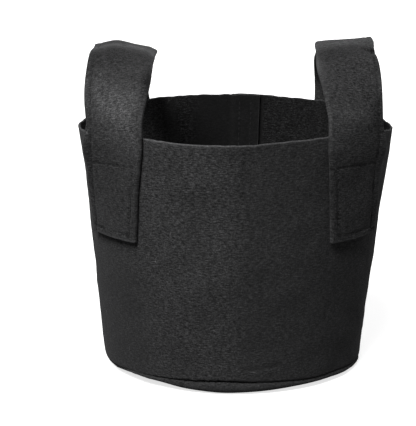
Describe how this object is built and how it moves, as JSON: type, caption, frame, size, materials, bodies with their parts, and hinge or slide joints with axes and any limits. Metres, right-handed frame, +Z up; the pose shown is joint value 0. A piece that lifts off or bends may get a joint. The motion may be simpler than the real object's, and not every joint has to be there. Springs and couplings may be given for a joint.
{
  "type": "fabric grow bag",
  "caption": "Round tapered planter sewn from thick needled felt, open at the top, with a flat base, a lapped back seam and two upright strap handles.",
  "frame": {"origin": "centre of the base on the ground", "axes": "+Z up out of the mouth, +X towards the right handle, -Y the front, +Y the back where the side panel laps"},
  "size_m": [0.2054, 0.2055, 0.2152],
  "materials": {
    "felt": "matte",
    "thread": "satin"
  },
  "bodies": {
    "bag": {"side_panel": "felt", "base_disc": "felt", "left_front_leg": "felt", "left_rear_leg": "felt", "right_front_leg": "felt", "right_rear_leg": "felt", "base_seam_thread": "thread", "lap_seam_threads": "thread", "left_front_stitching": "thread", "left_rear_stitching": "thread", "right_front_stitching": "thread", "right_rear_stitching": "thread"},
    "left_handle": {"left_handle_loop": "felt", "left_loop_stitching": "thread"},
    "right_handle": {"right_handle_loop": "felt", "right_loop_stitching": "thread"}
  },
  "joints": [
    {"name": "left_handle_flop", "type": "hinge", "parent": "bag", "child": "left_handle", "pos_m": [-0.074, 0, 0.171], "axis": [0, -1, 0], "range_deg": [-90, 90], "stiffness_Nm_per_rad": 0.02},
    {"name": "right_handle_flop", "type": "hinge", "parent": "bag", "child": "right_handle", "pos_m": [0.074, 0, 0.171], "axis": [0, 1, 0], "range_deg": [-90, 90], "stiffness_Nm_per_rad": 0.02}
  ]
}
